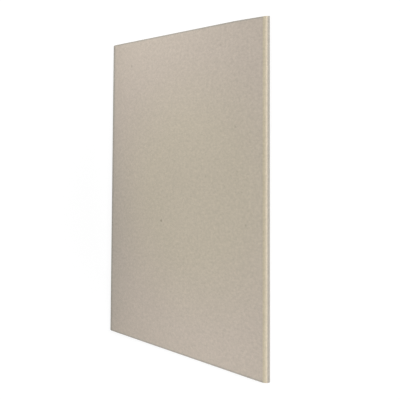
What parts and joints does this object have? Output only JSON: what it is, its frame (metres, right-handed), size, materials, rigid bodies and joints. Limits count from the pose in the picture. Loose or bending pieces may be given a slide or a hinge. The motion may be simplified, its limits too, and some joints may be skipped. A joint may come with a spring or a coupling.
{
  "type": "drywall sheet",
  "caption": "Flat rectangular gypsum board in a paper liner, with tapered and rounded long edges and square cut ends, fixed over framing as a wall or ceiling lining.",
  "frame": {"origin": "centre of the bounding box's bottom face: under the middle of the sheet, at the level it lies on", "axes": "+X across the sheet's width, +Y along its length, +Z out of its face; the sheet lies on its back, face up"},
  "size_m": [0.6, 0.9, 0.016],
  "materials": {
    "face_liner": "matte",
    "back_liner": "matte",
    "gypsum_core": "matte"
  },
  "bodies": {
    "root": {"drywall_sheet": "face_liner"}
  },
  "joints": []
}
